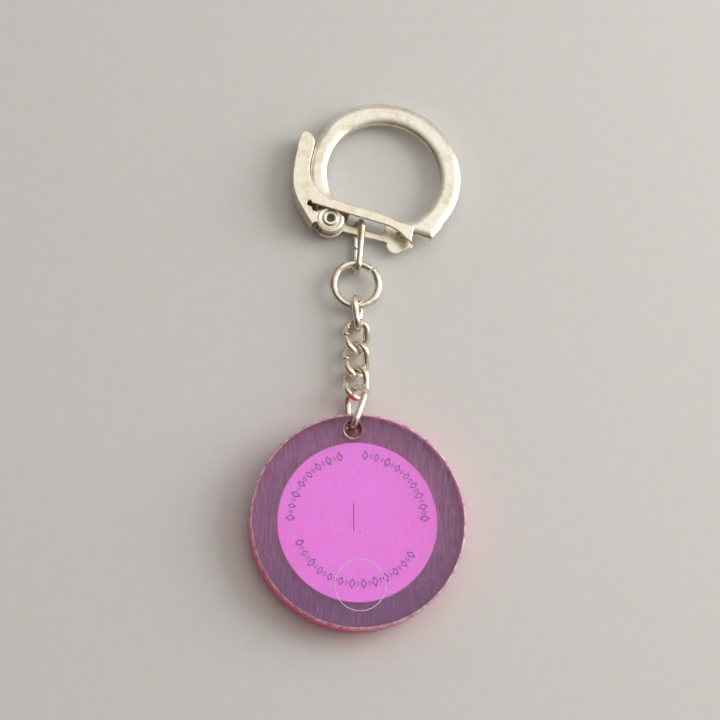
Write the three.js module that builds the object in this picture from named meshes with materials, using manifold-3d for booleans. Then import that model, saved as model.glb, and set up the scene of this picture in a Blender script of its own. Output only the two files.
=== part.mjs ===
// A keychain from the 1960s: a flat snap ring with a sprung gate, a connector link,
// a split jump ring, four curb links, an end link, and a disc of two clear plastic
// halves that shut in two round paper labels.
// Millimetres, +Z up. It lies on a table: the ring is at +Y, the disc at -Y.

import * as THREE from 'three';
import { mergeVertices } from 'three/addons/utils/BufferGeometryUtils.js';
import Module from 'manifold-3d';

const wasm = await Module();
wasm.setup();

const TURN = 2 * Math.PI;
const radians = THREE.MathUtils.degToRad;

// ---- clearances
const runningGap = 0.1;      // between faces that slide past each other
const pinGap = 0.06;         // round the rivet
const linkGap = 0.15;        // between two linked wires at their nearest
const glueGap = 0.2;         // between the disc's halves and its papers
const seamGap = 0.12;        // where a bent wire meets its own end

// ---- plastic disc
const discDiameter = 36;
const discBackThickness = 1.5;
const discFrontThickness = 2.9;
const discEdgeChamfer = 0.3;
const labelDiameter = 26.5;
const labelThickness = 0.25;
const discHoleRoom = 1.45;       // how much wider the hole is than the link's wire
const discHoleInset = 2.7;       // from the disc's rim to the middle of the hole
const discHoleTurn = 3.7;        // degrees that the hole sits left of the top
const discBelowChain = 3.12;     // from the last curb link's lower end to the disc's rim
const discLiftRoom = 0.35;       // the end link's back leg lifts the disc by its wire and this

// ---- wires
const linkWire = 1.25;
const linkLength = 5.48 * linkWire;   // outside
const linkWidth = 3.8 * linkWire;     // outside
const connectorWire = 1.15;
const connectorWidth = 3.95;     // outside
const connectorPlace = 5.2;      // from the rivet, along the gate
const connectorSlack = 0.3;      // its bow is rounder than the bar it hangs on
const connectorSide = -0.2;      // its middle lies this far left of the place on the bar
const jumpWire = 1.4;
const jumpDiameter = 9.15;       // outside
const jumpX = -0.1;              // where its middle lies
const jumpY = 13.3;
const jumpZ = 2.2;
const endLinkRoom = 0.6;         // wider than the disc is thick
const endLinkHoleCorner = linkWire;   // centreline radius of the two bends at the disc
const endLinkSlack = 0.36 * linkWire; // how much looser the end link sits on the chain
const endLinkFlat = 1.05;        // straight stretch at the top of its bow
const endLinkX = -0.54;          // its middle, beside the table's centre line
const endLinkRise = 0.3;         // its wire runs this far above the middle of the hole
const endLinkSide = 0.45;        // its middle lies this far right of the hole

// ---- snap ring
const ringOuterRadius = 13.65;
const ringInnerRadius = 9.85;
const ringThickness = 2;
const ringShoulder = 0.4;        // rounded shoulders along the ring's edges
const ringReliefRadius = 13.2;   // outer radius beside the thumb lever
const tongueThickness = 0.45;    // the ring's end, thinned for the rivet
const tongueRadius = 2.2;
const ringCentre = new THREE.Vector2(6.64, 10.78);   // from the rivet, along and across the gate
const footEdge = 1.75;           // the foot's flat edge, across the gate
const footLength = 17.8;         // from the rivet to the foot's corner

// ---- gate lever, folded from one sheet
const sheet = 0.45;
const gateAngle = -15.5;         // degrees from +X
const gateLow = 1.5;             // the front strip's lower edge
const gateHigh = 3.25;           // the gate's inner edge
const gateEnd = 14.2;            // from the rivet to the end of the strip
const barLow = -0.95;            // the bar that the connector hangs on
const barHigh = 0.6;
const slotStart = 3.0;
const slotEnd = 9.5;
const innerWebStart = 1.3;       // the fold along the gate's inner edge
const innerWebEnd = 8.4;
const stopStart = 12.3;          // the fold that stops the gate at the foot
const lobeRadius = 2.45;         // round eye of the front cheek
const backLobeRadius = 2.75;     // round eye of the back cheek
const lobeDrop = 0.8;            // how far the front eye is set below the strip
const footClearRadius = 11.9;    // the foot's left end follows the gate's swing
const gateClear = 0.1;           // between the foot's inner corner and the strip
const barRise = 0.4;             // how much the bar's lower edge climbs to its round lobe
const footStopGap = 0.3;         // between the stop lip and the foot

// ---- places round the ring, in degrees from the gate's direction
const footTopAngle = -6.5;       // where the round ends and the foot begins
const footBowAngle = -22;
const footInsideAngle = -40;
const reliefStartAngle = 160;
const reliefEndAngle = 222;
const armInsideAngle = 235;
const reliefSpan = 20;           // the round runs gently into the relief over this angle
const reliefBow = 0.2;           // bulge of that run beyond the round
const tongueStartAngle = 215;
const tongueEndAngle = 365;
const footBowRoom = 0.35;        // the foot swells this far beyond the round

// ---- rivet and spring
const rivetHole = 0.6;           // radius
const rivetShank = 0.85;         // radius
const rivetFlange = 1.4;         // radius
const rivetFlangeHeight = 0.3;
const springWire = 0.24;
const springTurns = 1.6;
const springRadius = 1.25;       // to the middle of the wire
const springLeg = 3.2;
const springCoilGap = 0.03;
const springStartAngle = -60;    // degrees from the gate's direction

// ---- how the pieces lie
const rivetX = -4.75;
const rivetY = 24.6;
const clearUnderClasp = 0.25;
const claspTilt = -2.5;          // degrees about X: the far side of the ring is lower

// ---- solids

function solidOf(geometry) {
  const bare = geometry.clone();
  bare.deleteAttribute('normal');
  bare.deleteAttribute('uv');
  const merged = mergeVertices(bare, 1e-4);
  const vertProperties = new Float32Array(merged.attributes.position.array);
  const triVerts = new Uint32Array(merged.index.array);
  return new wasm.Manifold(new wasm.Mesh({ numProp: 3, vertProperties, triVerts }));
}

function geometryOf(solid) {
  const mesh = solid.getMesh();
  const geometry = new THREE.BufferGeometry();
  geometry.setAttribute('position', new THREE.BufferAttribute(mesh.vertProperties, 3));
  geometry.setIndex(new THREE.BufferAttribute(mesh.triVerts, 1));
  geometry.computeVertexNormals();
  return geometry;
}

// the same outline as plain corners, with no two corners in one place
function cleaned(shape, curveSegments = 24) {
  const corners = shape.getPoints(curveSegments);
  const apart = corners.filter((corner, k) => {
    const next = corners[(k + 1) % corners.length];
    return corner.distanceTo(next) > 0.02;
  });
  return new THREE.Shape(apart);
}

function plate(shape, low, high, curveSegments = 24) {
  const options = { depth: high - low, bevelEnabled: false };
  const geometry = new THREE.ExtrudeGeometry(cleaned(shape, curveSegments), options);
  return geometry.translate(0, 0, low);
}

function drum(radius, low, high, x = 0, y = 0, sides = 36) {
  const geometry = new THREE.CylinderGeometry(radius, radius, high - low, sides);
  return geometry.rotateX(Math.PI / 2).translate(x, y, (low + high) / 2);
}

function block(x0, x1, y0, y1, z0, z1) {
  const geometry = new THREE.BoxGeometry(x1 - x0, y1 - y0, z1 - z0);
  return geometry.translate((x0 + x1) / 2, (y0 + y1) / 2, (z0 + z1) / 2);
}

function turned(profile, sides) {
  const points = profile.map(([radius, z]) => new THREE.Vector2(radius, z));
  return new THREE.LatheGeometry(points, sides).rotateX(Math.PI / 2);
}

function join(...geometries) {
  return geometries.map(solidOf).reduce((all, solid) => all.add(solid));
}

function rod(path, diameter, steps, sides = 10) {
  const section = new THREE.Shape();
  for (let k = 0; k < sides; k += 1) {
    const angle = (k / sides) * TURN;
    const [x, y] = [Math.cos(angle) * diameter / 2, Math.sin(angle) * diameter / 2];
    if (k === 0) section.moveTo(x, y);
    else section.lineTo(x, y);
  }
  section.closePath();
  return new THREE.ExtrudeGeometry(section, { steps, extrudePath: path, bevelEnabled: false });
}

// ---- bent wires

// A closed loop in its own plane: bows or rounded corners at the top and the bottom.
// seam says where the ends meet, as a share of the way round from the right-hand side.
class WireLoop extends THREE.Curve {
  constructor({ length, width, topRadius, bottomRadius, topTwist, bottomTwist, seam }) {
    super();
    Object.assign(this, { length, width, topTwist, bottomTwist, seam });
    const [halfWidth, halfLength] = [width / 2, length / 2];
    const outline = new THREE.Path();
    outline.moveTo(halfWidth, 0);
    outline.lineTo(halfWidth, halfLength - topRadius);
    outline.absarc(halfWidth - topRadius, halfLength - topRadius, topRadius, 0, TURN / 4);
    outline.absarc(topRadius - halfWidth, halfLength - topRadius, topRadius, TURN / 4, TURN / 2);
    outline.lineTo(-halfWidth, bottomRadius - halfLength);
    outline.absarc(bottomRadius - halfWidth, bottomRadius - halfLength, bottomRadius,
      TURN / 2, 3 * TURN / 4);
    outline.absarc(halfWidth - bottomRadius, bottomRadius - halfLength, bottomRadius,
      3 * TURN / 4, TURN);
    outline.lineTo(halfWidth, 0);
    this.outline = outline;
    this.cut = seamGap / outline.getLength();
  }

  getPoint(t) {
    const way = (this.seam + this.cut / 2 + t * (1 - this.cut)) % 1;
    const flat = this.outline.getPointAt(way);
    const share = 0.5 + flat.y / this.length;
    const twist = radians(THREE.MathUtils.lerp(this.bottomTwist, this.topTwist, share));
    return new THREE.Vector3(flat.x * Math.cos(twist), flat.y, flat.x * Math.sin(twist));
  }
}

class SpringPath extends THREE.Curve {
  getPoint(t) {
    const legShare = springLeg / (2 * springLeg + springTurns * TURN * springRadius);
    const rise = springTurns * (springWire + springCoilGap);
    const start = radians(springStartAngle);
    const end = start + springTurns * TURN;
    const coil = THREE.MathUtils.clamp((t - legShare) / (1 - 2 * legShare), 0, 1);
    const angle = start + coil * (end - start);
    const radial = new THREE.Vector3(Math.cos(angle), Math.sin(angle), 0);
    const point = radial.clone().multiplyScalar(springRadius).setZ(coil * rise);
    const along = new THREE.Vector3(-radial.y, radial.x, 0);
    if (t < legShare) return point.addScaledVector(along, -springLeg * (1 - t / legShare));
    if (t > 1 - legShare) {
      return point.addScaledVector(along, springLeg * (1 - (1 - t) / legShare));
    }
    return point;
  }
}

// ---- the snap ring, its lever, rivet and spring, in the gate's own frame:
// the rivet's axis is the origin, +X runs along the gate and +Y into the ring

const ringBack = sheet + runningGap;
const ringFront = ringBack + ringThickness;
const cheekBack = ringFront + runningGap;
const cheekFront = cheekBack + sheet;
const eyeBack = cheekBack - lobeDrop;
const eyeFront = eyeBack + sheet;
const tongueFront = ringBack + tongueThickness;

function ringBody() {
  const onRing = (radius, degrees) => new THREE.Vector2(
    ringCentre.x + radius * Math.cos(radians(degrees)),
    ringCentre.y + radius * Math.sin(radians(degrees)));
  const footTop = onRing(ringOuterRadius, footTopAngle);
  const footBow = onRing(ringOuterRadius + footBowRoom, footBowAngle);
  const reliefStart = onRing(ringReliefRadius, reliefStartAngle);
  const reliefBend = onRing(ringOuterRadius + reliefBow, reliefStartAngle - reliefSpan / 2);
  const reliefEnd = onRing(ringReliefRadius, reliefEndAngle);
  const armInside = onRing(ringInnerRadius, armInsideAngle);
  const footInside = onRing(ringInnerRadius, footInsideAngle);
  const footHigh = gateHigh + gateClear;
  const clearStart = Math.asin(footHigh / footClearRadius);
  const clearEnd = Math.asin(footEdge / footClearRadius);
  const outline = new THREE.Shape();
  outline.moveTo(footClearRadius * Math.cos(clearEnd), footEdge);
  outline.lineTo(footLength, footEdge);
  outline.quadraticCurveTo(footBow.x, footBow.y, footTop.x, footTop.y);
  outline.absarc(ringCentre.x, ringCentre.y, ringOuterRadius,
    radians(footTopAngle), radians(reliefStartAngle - reliefSpan));
  outline.quadraticCurveTo(reliefBend.x, reliefBend.y, reliefStart.x, reliefStart.y);
  outline.absarc(ringCentre.x, ringCentre.y, ringReliefRadius,
    radians(reliefStartAngle), radians(reliefEndAngle));
  outline.quadraticCurveTo(reliefEnd.x + 1.1, reliefEnd.y - 1.4,
    tongueRadius * Math.cos(radians(tongueStartAngle)),
    tongueRadius * Math.sin(radians(tongueStartAngle)));
  outline.absarc(0, 0, tongueRadius, radians(tongueStartAngle), radians(tongueEndAngle));
  outline.lineTo(armInside.x, armInside.y);
  outline.absarc(ringCentre.x, ringCentre.y, ringInnerRadius,
    radians(armInsideAngle), radians(footInsideAngle), true);
  outline.quadraticCurveTo(footInside.x - 1.3, footInside.y - 1,
    footClearRadius * Math.cos(clearStart), footHigh);
  outline.absarc(0, 0, footClearRadius, clearStart, clearEnd, true);
  const blank = solidOf(plate(outline, ringBack, ringFront, 40));
  const shoulders = solidOf(turned([
    [ringInnerRadius, ringBack + ringShoulder], [ringInnerRadius + ringShoulder, ringBack],
    [ringOuterRadius - ringShoulder, ringBack], [ringOuterRadius, ringBack + ringShoulder],
    [ringOuterRadius, ringFront - ringShoulder], [ringOuterRadius - ringShoulder, ringFront],
    [ringInnerRadius + ringShoulder, ringFront], [ringInnerRadius, ringFront - ringShoulder],
    [ringInnerRadius, ringBack + ringShoulder],
  ], 72).translate(ringCentre.x, ringCentre.y, 0));
  const ends = solidOf(block(-4, 20, -4, 4.6, ringBack, ringFront));
  const eyeRoom = drum(backLobeRadius + 0.25, tongueFront, cheekFront);
  const bore = drum(rivetShank + pinGap, 0, cheekFront);
  return geometryOf(blank.intersect(shoulders.add(ends)).subtract(solidOf(eyeRoom))
    .subtract(solidOf(bore)));
}

// the thumb lever's outer edge, from its tip down to the point below the rivet
const thumbOutside = new THREE.SplineCurve([
  [-8.5, 14.3], [-9.1, 13.6], [-9.2, 12.2], [-8.95, 9.4], [-8.6, 6.6], [-7.9, 3.9],
  [-6.6, 1.6], [-4.9, -0.2], [-2.8, -2.25],
].map(([x, y]) => new THREE.Vector2(x, y)));

// its inner edge, from the gate strip up to the tip: a long S
const thumbInside = new THREE.SplineCurve([
  [-0.7, 3.3], [-3.1, 4.2], [-4.6, 5.3], [-5.6, 6.8], [-6.05, 8.3], [-6.2, 10.0],
  [-6.3, 12.0], [-6.7, 13.4], [-7.5, 14.15], [-8.5, 14.3],
].map(([x, y]) => new THREE.Vector2(x, y)));

function cheek(front) {
  const outline = new THREE.Shape();
  outline.moveTo(-2.8, -2.25);
  outline.lineTo(-2.2, -1.5);
  if (front) {
    // up to the relief hole, along the slit and down to the drooping end of the strip
    outline.lineTo(-3.5, 0.6);
    outline.absarc(-4.1, gateLow - 0.1, 0.5, radians(-60), radians(90), true);
    outline.lineTo(-3.9, gateLow);
    outline.lineTo(9.4, gateLow);
    outline.quadraticCurveTo(11.6, gateLow - 0.2, 12.6, 0.6);
    outline.quadraticCurveTo(13.6, -0.15, 14.5, -0.2);
    outline.lineTo(gateEnd, 2.9);
    outline.quadraticCurveTo(12.6, 2.6, 11.4, 2.8);
    outline.quadraticCurveTo(9.6, 3.1, 8.0, gateHigh);
  } else {
    outline.lineTo(0, -1.5);
    outline.lineTo(1.2, barLow);
    outline.lineTo(10.6, barLow + barRise);
    outline.absarc(12.0, -0.65, 1.5, radians(170), radians(325));
    outline.lineTo(14.4, -0.35);
    outline.absarc(14.5, 0.15, 0.5, radians(-80), radians(90));
    outline.lineTo(gateEnd, 0.9);
    outline.lineTo(gateEnd, 2.7);
    outline.lineTo(11.4, 2.8);
    outline.lineTo(9.6, gateHigh);
  }
  outline.lineTo(-0.7, gateHigh + 0.05);
  for (const point of thumbInside.getPoints(27).slice(1)) outline.lineTo(point.x, point.y);
  for (const point of thumbOutside.getPoints(24).slice(1, -1)) outline.lineTo(point.x, point.y);
  outline.closePath();
  return outline;
}

// a strip of sheet that follows the thumb lever's outer edge
function thumbWeb() {
  const points = thumbOutside.getPoints(24);
  const inner = points.map((point, k) => {
    const way = thumbOutside.getTangent(k / (points.length - 1));
    return new THREE.Vector2(point.x - way.y * sheet, point.y + way.x * sheet);
  });
  return new THREE.Shape([...points, ...inner.reverse()]);
}

function gateLever() {
  const front = plate(cheek(true), cheekBack, cheekFront);
  const back = plate(cheek(false), 0, sheet);
  const web = plate(thumbWeb(), 0, cheekFront);
  const frontEye = drum(lobeRadius, eyeBack, eyeFront);
  const eyeNeck = block(-4.7, -1.4, -1.4, 0.6, eyeBack, eyeFront);
  const eyeStep = block(-4.7, -3.6, -0.3, 0.8, eyeBack, cheekFront);
  const backEye = drum(backLobeRadius, 0, sheet);
  const innerWeb = block(innerWebStart, innerWebEnd, gateHigh - sheet, gateHigh, 0, cheekFront);
  const lipTop = footEdge - footStopGap;
  const stopLip = block(stopStart, gateEnd, lipTop - sheet, lipTop, 0, cheekFront);
  const slot = block(slotStart, slotEnd, barHigh, gateHigh - sheet, -1, sheet + 0.5);
  const bore = drum(rivetShank + pinGap, -1, cheekFront + 1);
  const trimmed = solidOf(eyeNeck).subtract(solidOf(outsideLever()));
  return geometryOf(join(front, back, web, frontEye, eyeStep, backEye, innerWeb, stopLip)
    .add(trimmed).subtract(solidOf(slot)).subtract(solidOf(bore)));
}

// everything below and to the left of the lever's outer edge near the rivet
function outsideLever() {
  const outline = new THREE.Shape();
  outline.moveTo(-9, -6);
  outline.lineTo(-1, -6);
  outline.lineTo(-2.75, -2.2);
  outline.lineTo(-4.85, -0.15);
  outline.lineTo(-6.55, 1.65);
  outline.lineTo(-9, 3);
  outline.closePath();
  return plate(outline, -1, cheekFront + 1);
}

function pivotRivet() {
  const low = -pinGap;
  const high = eyeFront + pinGap;
  return turned([
    [rivetHole, low - rivetFlangeHeight], [rivetFlange - 0.1, low - rivetFlangeHeight],
    [rivetFlange, low - rivetFlangeHeight / 2], [rivetFlange, low],
    [rivetShank, low], [rivetShank, high], [rivetFlange, high],
    [rivetFlange, high + rivetFlangeHeight / 2], [rivetFlange - 0.2, high + rivetFlangeHeight],
    [rivetHole + 0.1, high + rivetFlangeHeight], [rivetHole, high + rivetFlangeHeight - 0.1],
    [rivetHole, low - rivetFlangeHeight],
  ], 32);
}

function torsionSpring() {
  const geometry = rod(new SpringPath(), springWire, 72, 8);
  return geometry.translate(0, 0, tongueFront + runningGap + springWire / 2);
}

// ---- the disc, in its own frame: its middle is the origin and its back is z = 0

const discRadius = discDiameter / 2;
const discHoleDiameter = linkWire + discHoleRoom;
const discFrontStart = discBackThickness + glueGap;
const discThickness = discFrontStart + discFrontThickness;
const pocketRadius = labelDiameter / 2 + glueGap;
const backLabelZ = discBackThickness + glueGap;
const frontLabelZ = backLabelZ + labelThickness + glueGap;
const pocketTop = frontLabelZ + labelThickness + glueGap;
const holeDistance = discRadius - discHoleInset;
const holeX = -holeDistance * Math.sin(radians(discHoleTurn));
const holeY = holeDistance * Math.cos(radians(discHoleTurn));

function discHole() {
  return solidOf(drum(discHoleDiameter / 2, -1, discThickness + 1, holeX, holeY));
}

function discFront() {
  const chamfer = discEdgeChamfer;
  const shell = turned([
    [0, pocketTop], [pocketRadius, pocketTop], [pocketRadius, discFrontStart],
    [discRadius, discFrontStart], [discRadius, discThickness - chamfer],
    [discRadius - chamfer, discThickness], [0, discThickness],
  ], 96);
  return geometryOf(solidOf(shell).subtract(discHole()));
}

function discBack() {
  const chamfer = discEdgeChamfer;
  const shell = turned([
    [0, 0], [discRadius - chamfer, 0], [discRadius, chamfer],
    [discRadius, discBackThickness], [0, discBackThickness],
  ], 96);
  return geometryOf(solidOf(shell).subtract(discHole()));
}

function paper(low) {
  return drum(labelDiameter / 2, low, low + labelThickness, 0, 0, 72);
}

// ---- putting them together

const nickel = { color: 0xcfc6a6, roughness: 0.35, metalness: 0.9 };
const brightNickel = { color: 0xdcd6c0, roughness: 0.28, metalness: 0.9 };
const magentaPlastic = { color: 0x9a3c86, roughness: 0.3, metalness: 0 };
const pinkPaper = { color: 0xee82ee, roughness: 0.8, metalness: 0 };
const springSteel = { color: 0x8f8f92, roughness: 0.4, metalness: 0.9 };

function piece(name, geometry, look) {
  const mesh = new THREE.Mesh(geometry, new THREE.MeshStandardMaterial(look));
  mesh.name = name;
  return mesh;
}

function wirePiece(name, loop, diameter, place, steps = 36) {
  const mesh = piece(name, rod(new WireLoop(loop), diameter, steps), nickel);
  mesh.position.set(place.x, place.y, place.z);
  mesh.rotation.set(radians(place.pitch ?? 0), 0, radians(place.yaw ?? 0));
  return mesh;
}

const keychain = new THREE.Group();
const table = new THREE.Group();
keychain.add(table);

// the clasp leans: it stands on the connector's back leg and on the ring's far edge
const clasp = new THREE.Group();
clasp.add(
  piece('ring_body', ringBody(), brightNickel),
  piece('gate_lever', gateLever(), nickel),
  piece('pivot_rivet', pivotRivet(), nickel),
  piece('torsion_spring', torsionSpring(), springSteel),
);
clasp.position.set(rivetX, rivetY, connectorWire + clearUnderClasp);
clasp.rotation.set(radians(claspTilt), 0, radians(gateAngle));
table.add(clasp);

// the connector goes round the bar through the lever's slot
const claspFrame = new THREE.Matrix4().compose(clasp.position, clasp.quaternion, clasp.scale);
const barTop = new THREE.Vector3(connectorPlace, barHigh, sheet / 2).applyMatrix4(claspFrame);
const connectorTop = barTop.y + connectorWire / 2 + linkGap + connectorSlack;
const jumpMid = (jumpDiameter - jumpWire) / 2;
const connectorBottom = jumpY + jumpMid - (jumpWire + connectorWire) / 2 - linkGap;
const connectorBow = (connectorWidth - connectorWire) / 2;
table.add(wirePiece('connector_link', {
  length: connectorTop - connectorBottom, width: 2 * connectorBow,
  topRadius: connectorBow, bottomRadius: connectorBow, topTwist: 68, bottomTwist: 84, seam: 0.5,
}, connectorWire, {
  x: barTop.x + connectorSide, y: (connectorTop + connectorBottom) / 2,
  z: connectorWire / 2 + connectorBow, yaw: -3,
}));

table.add(wirePiece('jump_ring', {
  length: 2 * jumpMid, width: 2 * jumpMid, topRadius: jumpMid, bottomRadius: jumpMid,
  topTwist: 0, bottomTwist: 0, seam: 0.14,
}, jumpWire, { x: jumpX, y: jumpY, z: jumpZ, pitch: -2 }, 48));

// four curb links: each is twisted, so its two bows cross their neighbours.
// x, rise and slack are in wire thicknesses: rise is how far its middle lies above the
// jump ring's, and slack is how far it could still be pulled away from the piece above it
const bow = (linkWidth - linkWire) / 2;
const reach = (linkLength - linkWire) / 2;
const linkPlaces = [
  { x: 0.096, rise: 0.12, slack: 0.112, topTwist: -60, bottomTwist: -86, yaw: 0, seam: 0.2 },
  { x: -0.048, rise: -0.04, slack: 0.224, topTwist: 32, bottomTwist: -48, yaw: 0, seam: 0.5 },
  { x: -0.08, rise: -0.2, slack: 0.16, topTwist: 42, bottomTwist: -48, yaw: 0, seam: 0.5 },
  { x: -0.16, rise: 0.28, slack: 0.16, topTwist: 42, bottomTwist: -35, yaw: -3, pitch: -14,
    seam: 0.8 },
];
let aboveY = jumpY - jumpMid + (jumpWire - linkWire) / 2;
linkPlaces.forEach((place, k) => {
  const loop = {
    length: 2 * reach, width: 2 * bow, topRadius: bow, bottomRadius: bow,
    topTwist: place.topTwist, bottomTwist: place.bottomTwist, seam: place.seam,
  };
  const y = aboveY + linkWire * (1 + place.slack) - reach;
  const at = { ...place, x: place.x * linkWire, y, z: jumpZ + place.rise * linkWire };
  table.add(wirePiece(`chain_link_${k + 1}`, loop, linkWire, at));
  aboveY = y - reach;
});

// the disc leans: the end link's back leg lifts its top edge
const discCentreX = endLinkX - endLinkSide - holeX;
const discCentreY = aboveY - discBelowChain - discRadius;
const discLift = linkWire + discLiftRoom;
const discTilt = Math.atan(discLift / discDiameter);
const disc = new THREE.Group();
disc.add(
  piece('disc_front', discFront(), magentaPlastic),
  piece('disc_back', discBack(), magentaPlastic),
  piece('label_front', paper(frontLabelZ), pinkPaper),
  piece('label_back', paper(backLabelZ), pinkPaper),
);
disc.position.set(discCentreX, discCentreY, discLift / 2);
disc.rotation.x = discTilt;
table.add(disc);

// the end link: squared where it goes through the disc's hole, round at the chain
const endLinkTop = aboveY + linkWire + endLinkSlack;
const endLinkBottom = discCentreY + holeY + endLinkRise;
const endLinkWidth = discThickness + endLinkRoom + linkWire;
const endLinkBow = (endLinkWidth - endLinkFlat) / 2;
table.add(wirePiece('end_link', {
  length: endLinkTop - endLinkBottom, width: endLinkWidth,
  topRadius: endLinkBow, bottomRadius: endLinkHoleCorner,
  topTwist: 62, bottomTwist: 88, seam: 0.5,
}, linkWire, {
  x: endLinkX, y: (endLinkTop + endLinkBottom) / 2, z: (endLinkWidth + linkWire) / 2, yaw: -8,
}, 44));

// the origin is in the middle of the whole, on the table
table.updateMatrixWorld(true);
const box = new THREE.Box3().setFromObject(table, true);
table.position.set(-(box.min.x + box.max.x) / 2, -(box.min.y + box.max.y) / 2, -box.min.z);

export default keychain;
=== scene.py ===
# A keychain on a pale table: a nickel-plated snap ring with a sprung gate, a chain of
# bent wire links, and a disc of two magenta acrylic halves that shut in paper labels.
# Sizes are in millimetres in the makers' functions; finished meshes are in metres.

import math

import bmesh
import bpy
import numpy as np
from mathutils import Matrix, Vector, noise
from mathutils.kdtree import KDTree


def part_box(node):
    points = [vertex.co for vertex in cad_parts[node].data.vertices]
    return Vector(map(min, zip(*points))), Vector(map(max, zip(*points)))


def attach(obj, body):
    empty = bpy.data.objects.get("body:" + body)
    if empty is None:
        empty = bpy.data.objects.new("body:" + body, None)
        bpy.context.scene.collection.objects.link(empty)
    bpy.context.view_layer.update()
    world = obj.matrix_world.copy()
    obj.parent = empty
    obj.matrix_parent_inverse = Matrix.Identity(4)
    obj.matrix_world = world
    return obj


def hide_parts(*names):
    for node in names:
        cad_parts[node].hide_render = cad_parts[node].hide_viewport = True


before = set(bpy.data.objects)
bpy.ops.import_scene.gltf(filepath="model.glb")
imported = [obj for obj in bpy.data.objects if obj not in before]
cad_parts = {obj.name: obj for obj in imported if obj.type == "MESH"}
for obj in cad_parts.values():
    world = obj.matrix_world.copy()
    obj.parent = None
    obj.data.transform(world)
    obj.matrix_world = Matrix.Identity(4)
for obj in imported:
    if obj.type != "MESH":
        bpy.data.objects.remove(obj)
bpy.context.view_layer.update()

MM = 0.001
TURN = 2 * math.pi

# ---- sizes shared with the solid model, in millimetres and degrees

DISC_RADIUS = 18
DISC_BACK_THICKNESS = 1.5
DISC_FRONT_START = 1.7
DISC_THICKNESS = 4.6
DISC_CENTRE_X = -0.003
DISC_CENTRE_Y = -28.2
DISC_LIFT = 1.6
LABEL_RADIUS = 13.25
LABEL_THICKNESS = 0.25
BACK_LABEL_Z = 1.7
FRONT_LABEL_Z = 2.15
POCKET_TOP = 2.6
POCKET_RADIUS = 13.45
HOLE_RADIUS = 1.35
HOLE_DISTANCE = 15.3
HOLE_TURN = 3.7
HOLE_X = -HOLE_DISTANCE * math.sin(math.radians(HOLE_TURN))
HOLE_Y = HOLE_DISTANCE * math.cos(math.radians(HOLE_TURN))

LINK_WIRE = 1.25
CONNECTOR_WIRE = 1.15
CONNECTOR_WIDTH = 3.95
CONNECTOR_PLACE = 5.2
CONNECTOR_SLACK = 0.3
CONNECTOR_SIDE = -0.2
BAR_HIGH = 0.6
LINK_LENGTH = 6.85
LINK_WIDTH = 4.75
END_LINK_X = -0.54
END_LINK_SLACK = 0.45
END_LINK_RISE = 0.3
END_LINK_ROOM = 0.6
END_LINK_FLAT = 1.05
JUMP_WIRE = 1.4
JUMP_DIAMETER = 9.15
LINK_GAP = 0.15
SEAM_GAP = 0.12
# drawn wire is this much thinner than the solid model's, so that it turns freely
WIRE_SLACK = 0.06

RING_BACK = 0.55
RING_FRONT = 2.55
SHEET = 0.45
GATE_ANGLE = -15.5
CLASP_TILT = -2.5
CLASP_PLACE = Vector((-4.75, 24.6, CONNECTOR_WIRE + 0.25))
RIVET_HOLE = 0.6
RIVET_SHANK = 0.85
RIVET_FLANGE = 1.4
RIVET_LOW = -0.06
RIVET_HIGH = 2.36
FLANGE_HEIGHT = 0.3

JUMP_PLACE = Vector((-0.1, 13.3, 2.2))
JUMP_MID = (JUMP_DIAMETER - JUMP_WIRE) / 2


# ---- small helpers

def linear(hex_colour):
    """An sRGB hex value as linear light, with an alpha of one."""
    parts = [int(hex_colour[k:k + 2], 16) / 255 for k in (1, 3, 5)]
    light = [p / 12.92 if p <= 0.04045 else ((p + 0.055) / 1.055) ** 2.4 for p in parts]
    return (*light, 1.0)


def add_node(tree, kind, settings=None, links=None, values=None, stops=()):
    """Adds one node; settings are its properties, values its own sockets, links its inputs,
    and stops the places and colours of its ramp."""
    node = tree.nodes.new(kind)
    for name, value in (settings or {}).items():
        setattr(node, name, value)
    for socket, value in (values or {}).items():
        node.inputs[socket].default_value = value
    for socket, source in (links or {}).items():
        tree.links.new(source, node.inputs[socket])
    if stops:
        for element, (place, colour) in zip(node.color_ramp.elements, stops):
            element.position = place
            element.color = linear(colour)
    return node


# a colour Mix node's own sockets, which share their names with its other kinds'
SHARE, FIRST, SECOND, MIXED = 0, 6, 7, 2
COLOURS = {"data_type": "RGBA", "blend_type": "MIX"}
PRODUCT = {"data_type": "RGBA", "blend_type": "MULTIPLY"}
SUM = {"data_type": "RGBA", "blend_type": "ADD"}


def turn(degrees, axis):
    return Matrix.Rotation(math.radians(degrees), 4, axis)


# the whole model is shifted to stand in the middle; the jump ring's box says by how much
jump_low, jump_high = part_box("jump_ring")
SHIFT = Matrix.Translation((jump_low + jump_high) / 2 - JUMP_PLACE * MM)
TO_METRES = Matrix.Scale(MM, 4)
CLASP_FRAME = (Matrix.Translation(CLASP_PLACE) @ turn(CLASP_TILT, "X") @ turn(GATE_ANGLE, "Z"))
disc_middle = sum(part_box("disc_front"), Vector()) / 2
DISC_FRAME = (Matrix.Translation((DISC_CENTRE_X, DISC_CENTRE_Y, DISC_LIFT / 2))
              @ Matrix.Rotation(math.atan(DISC_LIFT / (2 * DISC_RADIUS)), 4, "X"))


def in_place(local):
    """From a piece's own frame in millimetres to the model's frame in metres."""
    return SHIFT @ TO_METRES @ local


def new_object(name, mesh):
    piece = bpy.data.objects.new(name, mesh)
    bpy.context.scene.collection.objects.link(piece)
    return piece


def evaluated_mesh(piece, name):
    """The piece's mesh with its modifiers in it; the piece itself is taken away."""
    graph = bpy.context.evaluated_depsgraph_get()
    mesh = bpy.data.meshes.new_from_object(piece.evaluated_get(graph), depsgraph=graph)
    mesh.name = name
    bpy.data.objects.remove(piece)
    return mesh


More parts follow.
